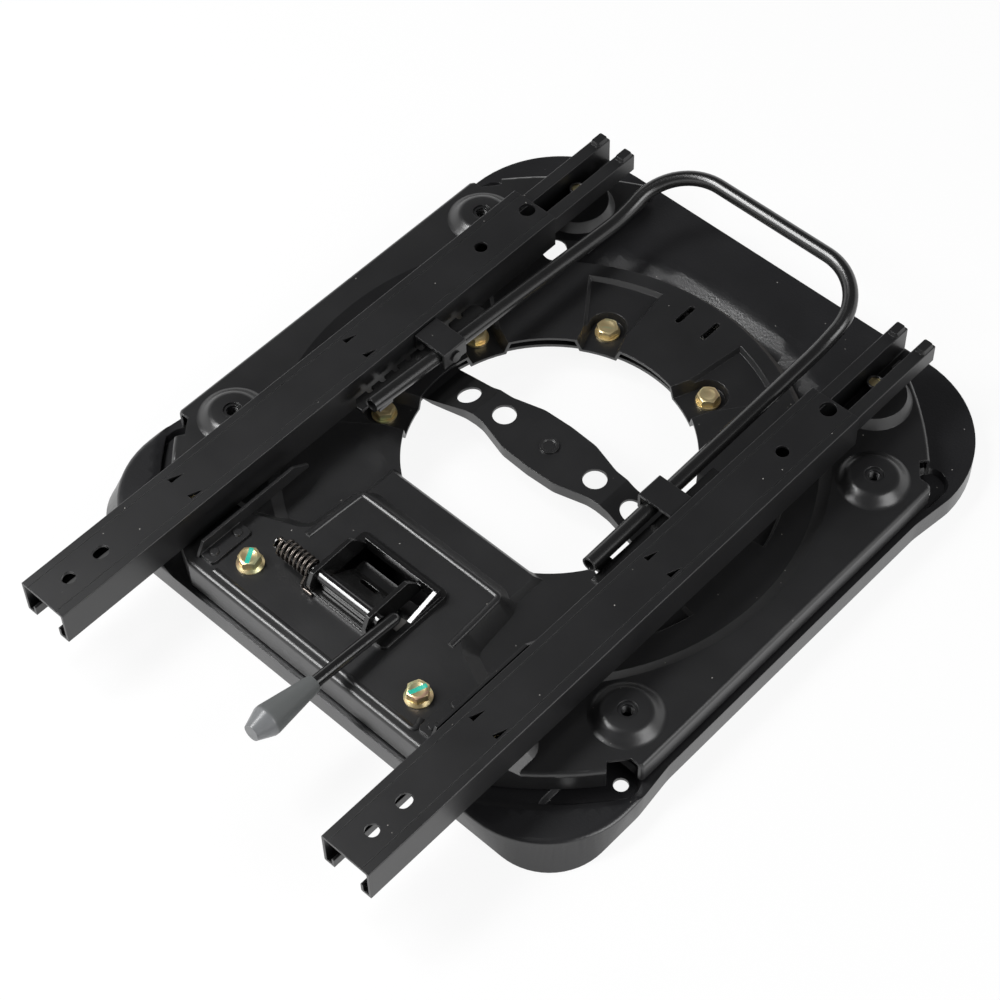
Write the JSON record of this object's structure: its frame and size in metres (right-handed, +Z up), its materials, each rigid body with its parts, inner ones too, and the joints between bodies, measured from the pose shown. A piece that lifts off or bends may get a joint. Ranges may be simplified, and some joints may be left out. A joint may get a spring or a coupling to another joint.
{
  "type": "swivel seat base with slide rails",
  "caption": "Swivel seat base: pressed steel turntable on a ball ring, with slide rails, a release bar and a sprung swivel lock lever.",
  "frame": {"origin": "on the swivel axis, in the plane of the base plate's underside rim, midway between its four anchor holes", "axes": "+Z up along the swivel axis, +Y from the lock lever towards the cross bar of the release bar, +X to the right as seen from the lever"},
  "size_m": [0.416, 0.542, 0.0752],
  "materials": {
    "base_paint": "semi-gloss black paint",
    "plate_paint": "semi-gloss black paint",
    "rail_paint": "semi-gloss black coating",
    "bar_paint": "gloss black paint",
    "lock_paint": "gloss black paint",
    "yellow_zinc": "yellow passivated zinc on steel",
    "bearing_steel": "polished steel",
    "race_steel": "oiled steel",
    "spring_steel": "lightly browned spring steel",
    "grey_plastic": "matt dark grey",
    "cage_plastic": "matt black",
    "slide_plastic": "natural white"
  },
  "bodies": {
    "base": {"base_plate": "base_paint"},
    "ball_set": {"bearing_balls": "bearing_steel", "ball_cage": "cage_plastic"},
    "turntable": {"swivel_plate": "plate_paint", "race_ring": "race_steel", "retaining_ring": "plate_paint", "slide_ring": "slide_plastic", "centre_strap": "plate_paint", "strap_stud": "plate_paint", "strap_rivets": "plate_paint", "ring_washers": "yellow_zinc", "ring_bolts": "yellow_zinc", "ring_nuts": "yellow_zinc", "panel_bolts": "yellow_zinc", "panel_nuts": "plate_paint", "boss_nuts": "plate_paint", "lower_rail_left": "rail_paint", "lower_rail_right": "rail_paint", "rail_nuts": "rail_paint", "rail_screws": "rail_paint", "rail_stay_left": "plate_paint", "rail_stay_right": "plate_paint", "stay_rivets": "plate_paint", "lock_bracket": "lock_paint", "lock_spring": "spring_steel"},
    "rail_ball_set": {"rail_balls_left": "bearing_steel", "rail_balls_right": "bearing_steel", "rail_cage_left": "cage_plastic", "rail_cage_right": "cage_plastic"},
    "sliders": {"upper_rail_left": "rail_paint", "upper_rail_right": "rail_paint", "bar_clip_left": "bar_paint", "bar_clip_right": "bar_paint", "bar_pin_left": "bar_paint", "bar_pin_right": "bar_paint"},
    "release": {"release_bar": "bar_paint", "latch_plate_left": "bar_paint", "latch_plate_right": "bar_paint"},
    "lever": {"lock_shaft": "lock_paint", "lock_flap": "lock_paint", "lever_rod": "lock_paint", "lever_knob": "grey_plastic"}
  },
  "joints": [
    {"name": "swivel", "type": "hinge", "parent": "base", "child": "turntable", "pos_m": [0, 0, 0.016], "axis": [0, 0, 1], "continuous": true},
    {"name": "ball_roll", "type": "hinge", "parent": "base", "child": "ball_set", "pos_m": [0, 0, 0.016], "axis": [0, 0, 1], "continuous": true},
    {"name": "seat_slide", "type": "slide", "parent": "turntable", "child": "sliders", "axis": [0, 1, 0], "range_m": [0, 0.183]},
    {"name": "row_roll", "type": "slide", "parent": "turntable", "child": "rail_ball_set", "axis": [0, 1, 0], "range_m": [0, 0.0915]},
    {"name": "bar_lift", "type": "hinge", "parent": "sliders", "child": "release", "pos_m": [0, 0.0007, 0.05902], "axis": [1, 0, 0], "range_deg": [0, 7], "stiffness_Nm_per_rad": 1.5},
    {"name": "lever_lift", "type": "hinge", "parent": "turntable", "child": "lever", "pos_m": [0, -0.177, 0.052], "axis": [1, 0, 0], "range_deg": [-6.5, 12], "stiffness_Nm_per_rad": 2.5}
  ],
  "couplings": [
    {"joint": "ball_roll", "follows": "swivel", "ratio": 0.5},
    {"joint": "row_roll", "follows": "seat_slide", "ratio": 0.5}
  ]
}
